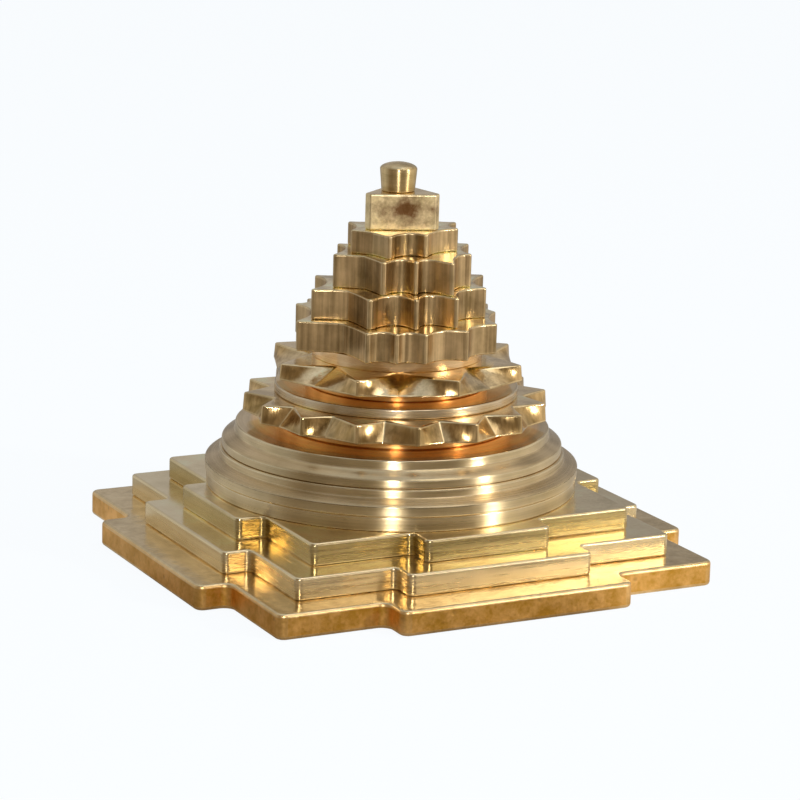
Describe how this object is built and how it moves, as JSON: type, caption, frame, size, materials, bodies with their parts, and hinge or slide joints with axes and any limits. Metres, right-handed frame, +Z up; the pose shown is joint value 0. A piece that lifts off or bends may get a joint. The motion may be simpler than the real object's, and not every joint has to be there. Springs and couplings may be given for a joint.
{
  "type": "shri_yantra",
  "caption": "Brass shri yantra in raised Meru form: gated square plates, turned circle steps, petal rings, star tiers and a bindu knob, stacked on one stud",
  "frame": {"origin": "middle of the underside of the lowest gated plate", "axes": "+Z up through the bindu knob; +X, -X, +Y and -Y through the gates; -Y and -X sides face the viewer in the picture"},
  "size_m": [0.0762, 0.0762, 0.0562],
  "materials": {
    "cast_brass": "as cast, dull and slightly pitted edges, machined top",
    "polished_brass": "turned or milled, then polished bright",
    "machined_brass": "upright milling marks on the sides, polished top",
    "groove_brass": "turned, warm toned in the grooves",
    "fastener_steel": "bright zinc"
  },
  "bodies": {
    "root": {"gate_plate_lower": "cast_brass", "gate_plate_middle": "polished_brass", "gate_plate_upper": "polished_brass", "circle_step_lower": "polished_brass", "circle_step_middle": "polished_brass", "circle_step_upper": "polished_brass", "neck_lower": "groove_brass", "sixteen_petal_plate": "machined_brass", "circle_disc_lower": "polished_brass", "neck_upper": "groove_brass", "eight_petal_plate": "machined_brass", "circle_disc_upper": "polished_brass", "fourteen_corner_plate": "machined_brass", "outer_ten_corner_plate": "machined_brass", "inner_ten_corner_plate": "machined_brass", "eight_corner_plate": "machined_brass", "triangle_block": "polished_brass", "bindu_knob": "polished_brass", "tie_stud": "fastener_steel", "base_washer": "fastener_steel", "base_nut": "fastener_steel", "base_pin_left": "fastener_steel", "base_pin_right": "fastener_steel", "tower_pin": "fastener_steel"}
  },
  "joints": []
}
